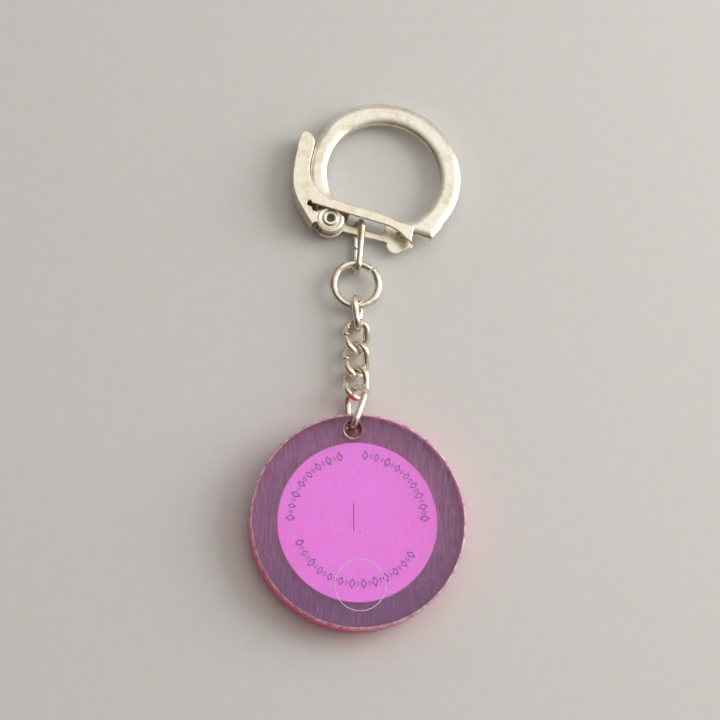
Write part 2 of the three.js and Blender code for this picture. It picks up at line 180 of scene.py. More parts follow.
def smooth_shaded(mesh, angle=None):
    mesh.polygons.foreach_set("use_smooth", [True] * len(mesh.polygons))
    if angle is not None:
        mesh.set_sharp_from_angle(angle=math.radians(angle))
    mesh.update()


def points_of(mesh):
    flat = np.zeros(len(mesh.vertices) * 3)
    mesh.vertices.foreach_get("co", flat)
    return flat.reshape(-1, 3)


def set_points(mesh, points):
    mesh.vertices.foreach_set("co", points.ravel())
    mesh.update()


def smooth_step(low, high, value):
    share = np.clip((value - low) / (high - low), 0, 1)
    return share * share * (3 - 2 * share)


def lathe(name, profile, sides, finishes=None, close_ends=True):
    """A turned body about Z; profile goes once round the section, finishes one per side of it."""
    mesh = bpy.data.meshes.new(name)
    made = bmesh.new()
    rings = []
    for radius, z in profile:
        if radius < 1e-6:
            rings.append([made.verts.new((0, 0, z))] * sides)
            continue
        rings.append([made.verts.new((radius * math.cos(TURN * k / sides),
                                      radius * math.sin(TURN * k / sides), z))
                      for k in range(sides)])
    spans = len(rings) if close_ends else len(rings) - 1
    for index in range(spans):
        lower, upper = rings[index], rings[(index + 1) % len(rings)]
        for k in range(sides):
            corners = [lower[k], lower[(k + 1) % sides], upper[(k + 1) % sides], upper[k]]
            unique = list(dict.fromkeys(corners))
            if len(unique) < 3:
                continue
            face = made.faces.new(unique)
            face.material_index = finishes[index] if finishes else 0
    bmesh.ops.recalc_face_normals(made, faces=made.faces)
    made.to_mesh(mesh)
    made.free()
    return mesh


# ---- finishes

def finish_tree(name):
    material = bpy.data.materials.new(name)
    material.use_nodes = True
    material.node_tree.nodes.clear()
    return material, material.node_tree


def close_finish(tree, shader):
    add_node(tree, "ShaderNodeOutputMaterial", links={"Surface": shader.outputs[0]})


# how many features of each pattern there are in a millimetre, along X, Y and Z
TARNISH_PATCH = (0.42, 0.42, 0.42)
FINE_SCRATCH = (9.0, 0.55, 2.0)     # 0.1 mm wide, drawn coarser than a real hairline to show
BROAD_SCRATCH = (3.2, 0.35, 2.0)    # 0.3 mm wide and 3 mm long
PAPER_CLOUD = (0.11, 0.11, 0.11)
PAPER_FIBRE = (3.5, 1.4, 1.0)
ACRYLIC_IOR = 1.49


def pattern(tree, centre, angle, scale, detail, roughness):
    """Noise over the piece: scale is how many features there are in a millimetre, per axis."""
    place = add_node(tree, "ShaderNodeTexCoord")
    laid = add_node(
        tree, "ShaderNodeMapping", {"vector_type": "TEXTURE"},
        links={"Vector": place.outputs["Object"]},
        values={"Location": centre, "Rotation": (0, 0, math.radians(angle)),
                "Scale": [MM / s for s in scale]})
    return add_node(
        tree, "ShaderNodeTexNoise", links={"Vector": laid.outputs[0]},
        values={"Scale": 1.0, "Detail": detail, "Roughness": roughness})


def nickel(name, light, tarnish, roughness, streaks, angle, bump_height):
    """Bright nickel on brass, worn: pale warm metal, with brownish tarnish in soft patches."""
    material, tree = finish_tree(name)
    patches = pattern(tree, (0, 0, 0), 0, TARNISH_PATCH, 4.0, 0.62)
    grain = pattern(tree, (0, 0, 0), angle, streaks, 4.0, 0.6)
    worn = add_node(tree, "ShaderNodeValToRGB", links={"Fac": patches.outputs[0]},
                    stops=((0.48, "#000000"), (0.80, "#FFFFFF")))
    tone = add_node(tree, "ShaderNodeMix", COLOURS, {SHARE: worn.outputs["Color"]},
                    {FIRST: linear(light), SECOND: linear(tarnish)})
    lines = add_node(tree, "ShaderNodeValToRGB", links={"Fac": grain.outputs[0]},
                     stops=((0.30, "#DCD4C4"), (0.60, "#FFFFFF")))
    colour = add_node(tree, "ShaderNodeMix", PRODUCT,
                      {FIRST: tone.outputs[MIXED], SECOND: lines.outputs["Color"]},
                      {SHARE: 0.6})
    shine = add_node(tree, "ShaderNodeMapRange", links={"Value": grain.outputs[0]},
                     values={"To Min": roughness - 0.10, "To Max": roughness + 0.14})
    bump = add_node(tree, "ShaderNodeBump", links={"Height": grain.outputs[0]},
                    values={"Strength": 0.5, "Distance": bump_height * MM})
    shader = add_node(
        tree, "ShaderNodeBsdfPrincipled",
        links={"Base Color": colour.outputs[MIXED], "Roughness": shine.outputs[0],
               "Normal": bump.outputs[0]},
        values={"Metallic": 1.0})
    close_finish(tree, shader)
    return material


# the ring was tumbled: short fine scratches that run across it, and a soft shine
ring_nickel = nickel("tumbled_nickel_plate_ring", "#F6F0E2", "#D8C49C", 0.30,
                     (6.0, 1.2, 3.0), GATE_ANGLE, 0.012)
# the lever was drawn from sheet, so fine lines run across its strip
lever_nickel = nickel("drawn_nickel_plate_lever", "#F4ECDA", "#CDB68C", 0.28,
                      (7.0, 1.0, 3.0), GATE_ANGLE, 0.012)
# the links were barrel plated: a bright skin that has gone yellow where they rub
wire_nickel = nickel("barrel_nickel_plate_wire", "#F8F1E2", "#BC9A66", 0.24,
                     (2.5, 2.5, 2.5), 0, 0.010)
# the rivet's rolled flange is the brightest metal on the clasp
rivet_nickel = nickel("rolled_nickel_plate_rivet", "#F6F0E2", "#B89C6E", 0.20,
                      (4.0, 4.0, 4.0), 0, 0.006)
# bare spring steel: grey, and duller than the plating round it
spring_steel = nickel("hard_drawn_spring_steel", "#A9A7A4", "#5E554C", 0.32,
                      (5.0, 5.0, 5.0), 0, 0.006)


def scratches(tree, share):
    """Fine pale scratches that run nearly along Y, a few millimetres long."""
    fine = pattern(tree, (0, 0, 0), -3, FINE_SCRATCH, 2.0, 0.5)
    broad = pattern(tree, (0.004, 0.002, 0), 4, BROAD_SCRATCH, 3.0, 0.6)
    thin = add_node(tree, "ShaderNodeValToRGB", links={"Fac": fine.outputs[0]},
                    stops=((0.60, "#000000"), (0.78, "#FFFFFF")))
    wide = add_node(tree, "ShaderNodeValToRGB", links={"Fac": broad.outputs[0]},
                    stops=((0.45, "#000000"), (0.85, "#FFFFFF")))
    both = add_node(tree, "ShaderNodeMix", SUM,
                    {FIRST: thin.outputs["Color"], SECOND: wide.outputs["Color"]}, {SHARE: 0.5})
    weaker = add_node(tree, "ShaderNodeMix", PRODUCT, {FIRST: both.outputs[MIXED]},
                      {SHARE: 1.0, SECOND: (share, share, share, 1)})
    return weaker.outputs[MIXED]


def clear_plastic(name):
    """Dyed acrylic, moulded clear and gone dull: magenta glass under a haze of scratches."""
    material, tree = finish_tree(name)
    marks = scratches(tree, 0.55)
    colour = add_node(tree, "ShaderNodeMix", COLOURS, {SHARE: marks},
                      {FIRST: linear("#FCE0FA"), SECOND: linear("#F6E0EC")})
    through = add_node(tree, "ShaderNodeMapRange", links={"Value": marks},
                       values={"To Min": 0.985, "To Max": 0.55})
    shine = add_node(tree, "ShaderNodeMapRange", links={"Value": marks},
                     values={"To Min": 0.10, "To Max": 0.42})
    bump = add_node(tree, "ShaderNodeBump", links={"Height": marks},
                    values={"Strength": 0.25, "Distance": 0.01 * MM})
    shader = add_node(
        tree, "ShaderNodeBsdfPrincipled",
        links={"Base Color": colour.outputs[MIXED], "Transmission Weight": through.outputs[0],
               "Roughness": shine.outputs[0], "Normal": bump.outputs[0]},
        values={"IOR": ACRYLIC_IOR})
    close_finish(tree, shader)
    return material


def shaded_towards_far_end(tree, colour, tint):
    """Painted shade: tints the colour darker and more purple, little by little, towards the
    disc's far end from the chain.
    """
    place = add_node(tree, "ShaderNodeTexCoord")
    parts = add_node(tree, "ShaderNodeSeparateXYZ", links={0: place.outputs["Object"]})
    depth = add_node(
        tree, "ShaderNodeMapRange", {"interpolation_type": "SMOOTHSTEP"},
        links={"Value": parts.outputs["Y"]},
        values={"From Min": disc_middle.y + 4 * MM, "From Max": disc_middle.y - 16 * MM,
                "To Min": 0.0, "To Max": 0.95})
    tinted = add_node(tree, "ShaderNodeMix", PRODUCT,
                      {SHARE: depth.outputs[0], FIRST: colour}, {SECOND: linear(tint)})
    return tinted.outputs[MIXED]


def solid_plastic(name, dark, light, roughness, low, high, streaks, glow=0.0, painted_shade_tint=None,
                  bump_height=0.02):
    """A face of the disc that light doesn't get through: dye, wear or painted shade, with its
    marks.
    painted_shade_tint is the tint of a painted shade, deeper towards the disc's far end from the
    chain."""
    material, tree = finish_tree(name)
    grain = pattern(tree, (0, 0, 0), 0, streaks, 4.0, 0.6)
    mottled = add_node(tree, "ShaderNodeValToRGB", links={"Fac": grain.outputs[0]},
                       stops=((low, "#000000"), (high, "#FFFFFF")))
    toned = add_node(tree, "ShaderNodeMix", COLOURS, {SHARE: mottled.outputs["Color"]},
                     {FIRST: linear(dark), SECOND: linear(light)})
    colour = toned.outputs[MIXED]
    # painted shade: the colour darkens towards the disc's far end from the chain
    if painted_shade_tint:
        colour = shaded_towards_far_end(tree, colour, painted_shade_tint)
    shine = add_node(tree, "ShaderNodeMapRange", links={"Value": grain.outputs[0]},
                     values={"To Min": roughness - 0.08, "To Max": roughness + 0.12})
    bump = add_node(tree, "ShaderNodeBump", links={"Height": grain.outputs[0]},
                    values={"Strength": 0.4, "Distance": bump_height * MM})
    # glow, where given, is a painted glow in the face's own colour
    shader = add_node(
        tree, "ShaderNodeBsdfPrincipled",
        links={"Base Color": colour, "Roughness": shine.outputs[0], "Normal": bump.outputs[0],
               "Emission Color": colour},
        values={"IOR": ACRYLIC_IOR, "Emission Strength": glow})
    close_finish(tree, shader)
    return material


disc_clear = clear_plastic("dyed_clear_acrylic")
# the rim's edge is chipped and rubbed to a pale pink; on the hole's lips the same pale finish is
# a painted highlight
disc_rim = solid_plastic("rubbed_rim_and_lip_highlight", "#C0709A", "#F8DCD6", 0.30, 0.36, 0.70,
                         (1.3, 1.3, 1.3), bump_height=0.05)
# the sides are dyed acrylic with a painted glow: an emission in their own colour stands for the
# light that the plastic gathers and lets out at its edge
disc_side = solid_plastic("acrylic_side_painted_glow", "#D0106E", "#F42A8C", 0.20, 0.35, 0.75,
                          (1.2, 1.2, 4.0), glow=0.15)
# the back half's border: a film with a vertical grain, its dusky colour a painted shade, darker
# towards the disc's far end from the chain
disc_border_shade = solid_plastic("border_painted_shade", "#8C4084", "#D098BE", 0.55, 0.30, 0.74,
                          (2.6, 0.30, 1.0), painted_shade_tint="#BE72E0")
# the drilled hole is polished by the link: orange-red; its lips take the rim's pale finish as a
# painted highlight
disc_hole = solid_plastic("drilled_acrylic_hole", "#A81A22", "#F0906A", 0.22, 0.40, 0.70,
                          (1.6, 1.6, 1.6))
# the moulding's witness ring stands proud; its near-white colour is a painted highlight
disc_witness = solid_plastic("witness_ring_painted_highlight", "#F0A8E0", "#FFF0F6", 0.28, 0.35, 0.65,
                             (1.5, 1.5, 1.5))


def paper(name, light, dark):
    """Uncoated dyed paper, with a painted glow: an emission in its own colour makes it look
    brighter than the plastic round it; a faint cloud of fibres, no shine."""
    material, tree = finish_tree(name)
    clouds = pattern(tree, (0, 0, 0), 20, PAPER_CLOUD, 3.0, 0.5)
    fibres = pattern(tree, (0, 0, 0), 35, PAPER_FIBRE, 4.0, 0.7)
    share = add_node(tree, "ShaderNodeValToRGB", links={"Fac": clouds.outputs[0]},
                     stops=((0.30, "#000000"), (0.72, "#FFFFFF")))
    colour = add_node(tree, "ShaderNodeMix", COLOURS, {SHARE: share.outputs["Color"]},
                      {FIRST: linear(light), SECOND: linear(dark)})
    specks = add_node(tree, "ShaderNodeValToRGB", links={"Fac": fibres.outputs[0]},
                      stops=((0.30, "#EFE6EE"), (0.70, "#FFFFFF")))
    mixed = add_node(tree, "ShaderNodeMix", PRODUCT,
                     {FIRST: colour.outputs[MIXED], SECOND: specks.outputs["Color"]},
                     {SHARE: 0.6})
    bump = add_node(tree, "ShaderNodeBump", links={"Height": fibres.outputs[0]},
                    values={"Strength": 0.3, "Distance": 0.01 * MM})
    shader = add_node(
        tree, "ShaderNodeBsdfPrincipled",
        links={"Base Color": mixed.outputs[MIXED], "Normal": bump.outputs[0],
               "Emission Color": mixed.outputs[MIXED]},
        values={"Roughness": 0.8, "IOR": 1.45, "Emission Strength": 0.38})
    close_finish(tree, shader)
    return material


# the paper's emission is a painted glow
label_paper = paper("dyed_orchid_paper", "#FF9CFF", "#FF90F0")


def ink(name):
    """Letterpress ink, faded unevenly to a grey purple."""
    material, tree = finish_tree(name)
    fading = pattern(tree, (0, 0, 0), 0, (1.6, 1.6, 1.6), 3.0, 0.6)
    colour = add_node(tree, "ShaderNodeValToRGB", links={"Fac": fading.outputs[0]},
                      stops=((0.30, "#682490"), (0.70, "#A45ABC")))
    shader = add_node(tree, "ShaderNodeBsdfPrincipled",
                      links={"Base Color": colour.outputs["Color"]},
                      values={"Roughness": 0.7, "IOR": 1.5})
    close_finish(tree, shader)
    return material


label_ink = ink("faded_purple_ink")


# ---- bent wires: one node tree draws every one of them along its path

def wire_tree():
    tree = bpy.data.node_groups.new("bent_wire", "GeometryNodeTree")
    sockets = {}
    for name, kind in (("Path", "NodeSocketGeometry"), ("Wire Radius", "NodeSocketFloat"),
                       ("End Round", "NodeSocketFloat"), ("Unevenness", "NodeSocketFloat"),
                       ("Finish", "NodeSocketMaterial")):
        sockets[name] = tree.interface.new_socket(name, in_out="INPUT", socket_type=kind)
    tree.interface.new_socket("Wire", in_out="OUTPUT", socket_type="NodeSocketGeometry")
    given = add_node(tree, "NodeGroupInput")
    curve = add_node(tree, "GeometryNodeMeshToCurve", links={"Mesh": given.outputs["Path"]})
    along = add_node(tree, "GeometryNodeSplineParameter")
    whole = add_node(tree, "GeometryNodeSplineLength")
    rest = add_node(tree, "ShaderNodeMath", {"operation": "SUBTRACT"},
                    links={0: whole.outputs["Length"], 1: along.outputs["Length"]})
    near = add_node(tree, "ShaderNodeMath", {"operation": "MINIMUM"},
                    links={0: along.outputs["Length"], 1: rest.outputs[0]})
    ratio = add_node(tree, "ShaderNodeMath", {"operation": "DIVIDE", "use_clamp": True},
                     links={0: near.outputs[0], 1: given.outputs["End Round"]})
    left = add_node(tree, "ShaderNodeMath", {"operation": "SUBTRACT"},
                    links={1: ratio.outputs[0]}, values={0: 1.0})
    square = add_node(tree, "ShaderNodeMath", {"operation": "MULTIPLY"},
                      links={0: left.outputs[0], 1: left.outputs[0]})
    under = add_node(tree, "ShaderNodeMath", {"operation": "MULTIPLY_ADD"},
                     links={0: square.outputs[0]}, values={1: -0.40, 2: 1.0})
    root = add_node(tree, "ShaderNodeMath", {"operation": "SQRT"}, links={0: under.outputs[0]})
    tapered = add_node(tree, "GeometryNodeSetCurveRadius",
                       links={"Curve": curve.outputs[0], "Radius": root.outputs[0]})
    circle = add_node(tree, "GeometryNodeCurvePrimitiveCircle", values={"Resolution": 24},
                      links={"Radius": given.outputs["Wire Radius"]})
    swept_links = {"Curve": tapered.outputs[0], "Profile Curve": circle.outputs[0]}
    swept = add_node(tree, "GeometryNodeCurveToMesh", links=swept_links,
                     values={"Fill Caps": True})
    if "Scale" in swept.inputs:
        tree.links.new(root.outputs[0], swept.inputs["Scale"])
    dents = add_node(tree, "ShaderNodeTexNoise", values={"Scale": 600.0, "Detail": 2.0})
    middle = add_node(tree, "ShaderNodeMath", {"operation": "SUBTRACT"},
                      links={0: dents.outputs[0]}, values={1: 0.5})
    height = add_node(tree, "ShaderNodeMath", {"operation": "MULTIPLY"},
                      links={0: middle.outputs[0], 1: given.outputs["Unevenness"]})
    normal = add_node(tree, "GeometryNodeInputNormal")
    offset = add_node(tree, "ShaderNodeVectorMath", {"operation": "SCALE"},
                      links={0: normal.outputs[0], "Scale": height.outputs[0]})
    moved = add_node(tree, "GeometryNodeSetPosition",
                     links={"Geometry": swept.outputs[0], "Offset": offset.outputs[0]})
    smooth = add_node(tree, "GeometryNodeSetShadeSmooth", links={0: moved.outputs[0]})
    real = add_node(tree, "GeometryNodeRealizeInstances", links={0: smooth.outputs[0]})
    painted = add_node(tree, "GeometryNodeSetMaterial",
                       links={"Geometry": real.outputs[0], "Material": given.outputs["Finish"]})
    add_node(tree, "NodeGroupOutput", links={"Wire": painted.outputs[0]})
    return tree, {name: socket.identifier for name, socket in sockets.items()}


WIRE_TREE, WIRE_SOCKETS = wire_tree()


def path_mesh(name, path):
    mesh = bpy.data.meshes.new(name + "_path")
    mesh.from_pydata([tuple(p) for p in path], [(k, k + 1) for k in range(len(path) - 1)], [])
    return mesh


def drawn_wire(name, path, diameter, finish, end_round=0.22, unevenness=0.05):
    """A wire of that diameter along a path that is already in metres."""
    guide = new_object(name + "_guide", path_mesh(name, path))
    bent = guide.modifiers.new("bent_wire", "NODES")
    bent.node_group = WIRE_TREE
    bent[WIRE_SOCKETS["Wire Radius"]] = diameter / 2 * MM
    bent[WIRE_SOCKETS["End Round"]] = end_round * MM
    bent[WIRE_SOCKETS["Unevenness"]] = unevenness * MM
    bent[WIRE_SOCKETS["Finish"]] = finish
    return new_object(name, evaluated_mesh(guide, name))


class WireLoop:
    """A closed loop in its own plane, with rounded corners, and its two bows twisted."""

    def __init__(self, length, width, top_radius, bottom_radius, top_twist, bottom_twist):
        self.length = length
        self.twists = (bottom_twist, top_twist)
        half_width, half_length = width / 2, length / 2
        top, bottom = half_length - top_radius, bottom_radius - half_length
        quarter = math.pi / 2
        self.parts = []
        self.line((half_width, 0), (half_width, top))
        self.arc((half_width - top_radius, top), top_radius, 0)
        self.line((half_width - top_radius, half_length), (top_radius - half_width, half_length))
        self.arc((top_radius - half_width, top), top_radius, quarter)
        self.line((-half_width, top), (-half_width, bottom))
        self.arc((bottom_radius - half_width, bottom), bottom_radius, 2 * quarter)
        self.line((bottom_radius - half_width, -half_length),
                  (half_width - bottom_radius, -half_length))
        self.arc((half_width - bottom_radius, bottom), bottom_radius, 3 * quarter)
        self.line((half_width, bottom), (half_width, 0))
        self.around = sum(part[0] for part in self.parts)

    def line(self, start, end):
        size = math.dist(start, end)
        self.parts.append((size, lambda s: (start[0] + (end[0] - start[0]) * s,
                                            start[1] + (end[1] - start[1]) * s)))

    def arc(self, centre, radius, start):
        size = radius * math.pi / 2
        self.parts.append((size, lambda s: (
            centre[0] + radius * math.cos(start + s * math.pi / 2),
            centre[1] + radius * math.sin(start + s * math.pi / 2))))

    def point(self, way):
        left = (way % 1) * self.around
        for size, place in self.parts:
            if left <= size and size > 1e-9:
                break
            left -= size
        x, y = place(left / size)
        share = 0.5 + y / self.length
        twist = math.radians(self.twists[0] + (self.twists[1] - self.twists[0]) * share)
        return Vector((x * math.cos(twist), y, x * math.sin(twist)))


def loop_path(loop, seam, gap, place, steps=96, spring_out=0.0, spring_reach=1.4):
    """The loop's path with its ends apart at the seam; spring_out lifts its last end out."""
    cut = gap / loop.around
    size = loop.around * (1 - cut)
    near_ends = [0.03, 0.07, 0.13, 0.20]
    stops = [s / size for s in near_ends]
    middle = np.linspace(0.30 / size, 1 - 0.30 / size, steps)
    path = []
    for t in [0, *stops, *middle, *[1 - s for s in reversed(stops)], 1]:
        point = loop.point(seam + cut / 2 + t * (1 - cut))
        left = (1 - t) * size
        lift = spring_out * math.exp(-(left / spring_reach) ** 2)
        point += point.normalized() * lift
        path.append(in_place(place) @ point)
    return path


def wire_place(x, y, z, pitch=0, yaw=0):
    return Matrix.Translation((x, y, z)) @ turn(pitch, "X") @ turn(yaw, "Z")


def hung_wire(node, body, loop, diameter, seam, place, gap=SEAM_GAP, **shape):
    piece = drawn_wire(node + "_wire", loop_path(loop, seam, gap, place, **shape),
                       diameter - WIRE_SLACK, wire_nickel)
    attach(piece, body)
    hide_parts(node)


# the connector goes round the bar through the lever's slot
bar_top = CLASP_FRAME @ Vector((CONNECTOR_PLACE, BAR_HIGH, SHEET / 2))
connector_top = bar_top.y + CONNECTOR_WIRE / 2 + LINK_GAP + CONNECTOR_SLACK
connector_bottom = JUMP_PLACE.y + JUMP_MID - (JUMP_WIRE + CONNECTOR_WIRE) / 2 - LINK_GAP
connector_bow = (CONNECTOR_WIDTH - CONNECTOR_WIRE) / 2
hung_wire(
    "connector_link", "connector",
    WireLoop(connector_top - connector_bottom, 2 * connector_bow, connector_bow,
             connector_bow, 68, 84),
    CONNECTOR_WIRE, 0.5,
    wire_place(bar_top.x + CONNECTOR_SIDE, (connector_top + connector_bottom) / 2,
               CONNECTOR_WIRE / 2 + connector_bow, yaw=-3))

# the jump ring's cut end has sprung out a little
hung_wire(
    "jump_ring", "jump_ring",
    WireLoop(2 * JUMP_MID, 2 * JUMP_MID, JUMP_MID, JUMP_MID, 0, 0), JUMP_WIRE, 0.13,
    wire_place(*JUMP_PLACE, pitch=-2), gap=0.16, steps=140, spring_out=0.22)

# four curb links, each twisted so that its bows cross its neighbours
LINK_BOW = (LINK_WIDTH - LINK_WIRE) / 2
LINK_REACH = (LINK_LENGTH - LINK_WIRE) / 2
LINKS = [
    {"x": 0.12, "z": 2.35, "slack": 0.14, "top": -60, "bottom": -86, "seam": 0.2},
    {"x": -0.06, "z": 2.15, "slack": 0.28, "top": 32, "bottom": -48, "seam": 0.5},
    {"x": -0.1, "z": 1.95, "slack": 0.2, "top": 42, "bottom": -48, "seam": 0.5},
    {"x": -0.2, "z": 2.55, "slack": 0.2, "top": 42, "bottom": -35, "seam": 0.8,
     "yaw": -3, "pitch": -14},
]
above_y = JUMP_PLACE.y - JUMP_MID + (JUMP_WIRE - LINK_WIRE) / 2
for number, link in enumerate(LINKS, start=1):
    link_y = above_y + LINK_WIRE + link["slack"] - LINK_REACH
    hung_wire(
        f"chain_link_{number}", f"link_{number}",
        WireLoop(2 * LINK_REACH, 2 * LINK_BOW, LINK_BOW, LINK_BOW, link["top"], link["bottom"]),
        LINK_WIRE, link["seam"],
        wire_place(link["x"], link_y, link["z"], link.get("pitch", 0), link.get("yaw", 0)))
    above_y = link_y - LINK_REACH

# the end link: squared where it goes through the disc's hole, round at the chain
end_top = above_y + LINK_WIRE + END_LINK_SLACK
end_bottom = DISC_CENTRE_Y + HOLE_Y + END_LINK_RISE
end_width = DISC_THICKNESS + END_LINK_ROOM + LINK_WIRE
end_bow = (end_width - END_LINK_FLAT) / 2
hung_wire(
    "end_link", "end_link",
    WireLoop(end_top - end_bottom, end_width, end_bow, LINK_WIRE, 62, 88), LINK_WIRE, 0.5,
    wire_place(END_LINK_X, (end_top + end_bottom) / 2, (end_width + LINK_WIRE) / 2, yaw=-8),
    steps=120)


# ---- the clasp: the solid model's own bodies, with their edges rounded over

def filled_out(made, middle, low, high):
    """Adds the plate that the body's section at the middle would make at its full thickness."""
    every = made.verts[:] + made.edges[:] + made.faces[:]
    copied = bmesh.ops.duplicate(made, geom=every)["geom"]
    cut = bmesh.ops.bisect_plane(made, geom=copied, plane_co=(0, 0, middle),
                                 plane_no=(0, 0, 1), clear_inner=True, clear_outer=True)
    rim = [part for part in cut["geom_cut"] if isinstance(part, bmesh.types.BMEdge)]
    face = bmesh.ops.triangle_fill(made, edges=rim, use_beauty=True)["geom"]
    faces = [part for part in face if isinstance(part, bmesh.types.BMFace)]
    for vertex in {v for f in faces for v in f.verts}:
        vertex.co.z = low
    raised = bmesh.ops.extrude_face_region(made, geom=faces, use_keep_orig=True)["geom"]
    for part in raised:
        if isinstance(part, bmesh.types.BMVert):
            part.co.z = high
    bmesh.ops.recalc_face_normals(made, faces=made.faces)


def softened_body(node, voxel, passes, section=None):
    """A fine-grained copy of a CAD body in the clasp's own frame and in millimetres."""
    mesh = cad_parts[node].data.copy()
    made = bmesh.new()
    made.from_mesh(mesh)
    bmesh.ops.remove_doubles(made, verts=made.verts, dist=1e-7)
    bmesh.ops.transform(made, matrix=in_place(CLASP_FRAME).inverted(), verts=made.verts)
    if section:
        filled_out(made, *section)
    made.to_mesh(mesh)
    made.free()
    mesh.materials.clear()
    piece = new_object(node + "_blank", mesh)
    grains = piece.modifiers.new("grains", "REMESH")
    grains.mode = "VOXEL"
    grains.voxel_size = voxel
    rounding = piece.modifiers.new("rounding", "SMOOTH")
    rounding.factor = 0.5
    rounding.iterations = passes
    return evaluated_mesh(piece, node + "_body")


def distance_inwards(points, wall):
    """How far each point lies, seen from above, from the nearest point of the wall."""
    tree = KDTree(len(wall))
    for index, point in enumerate(wall):
        tree.insert((point[0], point[1], 0), index)
    tree.balance()
    return np.array([tree.find((p[0], p[1], 0))[2] for p in points])


def normals_of(mesh):
    flat = np.zeros(len(mesh.vertices) * 3, np.float32)
    mesh.vertex_normals.foreach_get("vector", flat)
    return flat.reshape(-1, 3)


RING_SHOULDER = 1.2     # how far in from its edges the ring is rounded over
RING_BEVEL = 0.42       # share of its half thickness that it loses at the edge
WALL_NORMAL = 0.25      # a point faces sideways if its normal rises less than this
RIVET_END_FLAT = 2.6    # round the rivet the ring stays flat, and runs into its rounding
RIVET_END_ROUND = 4.4

ring_middle = (RING_BACK + RING_FRONT) / 2
ring_mesh = softened_body("ring_body", 0.1, 22, (ring_middle, RING_BACK, RING_FRONT))
points = points_of(ring_mesh)
walls = points[np.abs(normals_of(ring_mesh)[:, 2]) < WALL_NORMAL]
inwards = distance_inwards(points, walls)
left = np.clip(1 - inwards / RING_SHOULDER, 0, 1)
rounded = 1 - RING_BEVEL * left ** 1.6
from_rivet = np.hypot(points[:, 0], points[:, 1])
keep_flat = 1 - smooth_step(RIVET_END_FLAT, RIVET_END_ROUND, from_rivet)
shrink = rounded + (1 - rounded) * keep_flat
points[:, 2] = ring_middle + (points[:, 2] - ring_middle) * shrink
set_points(ring_mesh, points)
ring_mesh.transform(in_place(CLASP_FRAME))
smooth_shaded(ring_mesh)
ring_mesh.materials.append(ring_nickel)
snap_ring = new_object("snap_ring", ring_mesh)
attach(snap_ring, "ring")
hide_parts("ring_body")

# the lever's eye has a ring pressed up round the rivet
EYE_FRONT = 2.3
EYE_RADIUS = 2.5
EYE_RING_RADIUS = 1.95
EYE_RING_WIDTH = 0.17
EYE_RING_HEIGHT = 0.09
EYE_FACE_DEPTH = 0.12

lever_mesh = softened_body("gate_lever", 0.084, 11)
points = points_of(lever_mesh)
from_rivet = np.hypot(points[:, 0], points[:, 1])
on_eye = (from_rivet < EYE_RADIUS) & (np.abs(points[:, 2] - EYE_FRONT) < EYE_FACE_DEPTH)
pressed = np.exp(-((from_rivet - EYE_RING_RADIUS) / EYE_RING_WIDTH) ** 2)
points[:, 2] += np.where(on_eye, EYE_RING_HEIGHT * pressed, 0)
set_points(lever_mesh, points)
lever_mesh.transform(in_place(CLASP_FRAME))
smooth_shaded(lever_mesh)
lever_mesh.materials.append(lever_nickel)
folded_lever = new_object("folded_lever", lever_mesh)
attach(folded_lever, "gate")
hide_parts("gate_lever")


def flange(middle, outward):
    """The rolled-over end of a hollow rivet: from its outer edge over to the hole."""
    face = middle + outward * FLANGE_HEIGHT
    return [
        (RIVET_FLANGE, middle + outward * 0.06), (RIVET_FLANGE - 0.03, middle + outward * 0.15),
        (RIVET_FLANGE - 0.12, middle + outward * 0.24), (RIVET_FLANGE - 0.28, face),
        (RIVET_HOLE + 0.32, face), (RIVET_HOLE + 0.14, middle + outward * 0.25),
        (RIVET_HOLE + 0.04, middle + outward * 0.12), (RIVET_HOLE, middle - outward * 0.06),
    ]


rivet_profile = [
    (RIVET_SHANK, RIVET_LOW), (RIVET_FLANGE - 0.02, RIVET_LOW), *flange(RIVET_LOW, -1),
    *reversed(flange(RIVET_HIGH, 1)), (RIVET_FLANGE - 0.02, RIVET_HIGH),
    (RIVET_SHANK, RIVET_HIGH),
]
rivet_mesh = lathe("hollow_rivet", rivet_profile, 96)
rivet_mesh.transform(in_place(CLASP_FRAME))
smooth_shaded(rivet_mesh, 50)
rivet_mesh.materials.append(rivet_nickel)
hollow_rivet = new_object("hollow_rivet", rivet_mesh)
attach(hollow_rivet, "ring")
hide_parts("pivot_rivet")


SPRING_WIRE = 0.24
SPRING_COIL_GAP = 0.03
TONGUE_THICKNESS = 0.45
RUNNING_GAP = 0.1


def spring_path():
    """A leg, a turn and a half of coil, and a leg."""
    turns, radius, leg = 1.6, 1.25, 3.2
    start = math.radians(-60)
    rise = turns * (SPRING_WIRE + SPRING_COIL_GAP)
    low = RING_BACK + TONGUE_THICKNESS + RUNNING_GAP + SPRING_WIRE / 2
    path = []
    for coil in np.linspace(0, 1, 80):
        angle = start + coil * turns * TURN
        path.append(Vector((radius * math.cos(angle), radius * math.sin(angle), coil * rise)))
    first = Vector((math.sin(start), -math.cos(start), 0)) * leg
    end = start + turns * TURN
    last = Vector((-math.sin(end), math.cos(end), 0)) * leg
    legs_in = [path[0] + first * s for s in (1, 0.97, 0.7, 0.4, 0.1)]
    legs_out = [path[-1] + last * s for s in (0.1, 0.4, 0.7, 0.97, 1)]
    whole = [*legs_in, *path, *legs_out]
    return [in_place(CLASP_FRAME) @ (point + Vector((0, 0, low))) for point in whole]


coil_spring = drawn_wire("gate_spring", spring_path(), SPRING_WIRE, spring_steel, 0.05, 0.0)
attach(coil_spring, "ring")
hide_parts("torsion_spring")


# ---- the disc

DISC_SIDES = 320
RIM_ROUND = 0.42


def chips(angle, z, seed):
    """How far the rim is worn in at this angle: small nicks over a slow waviness."""
    small = noise.noise(Vector((math.cos(angle) * 22, math.sin(angle) * 22, z * 3 + seed)))
    large = noise.noise(Vector((math.cos(angle) * 6, math.sin(angle) * 6, seed)))
    return 0.06 * max(0, small) + 0.03 * max(0, large)


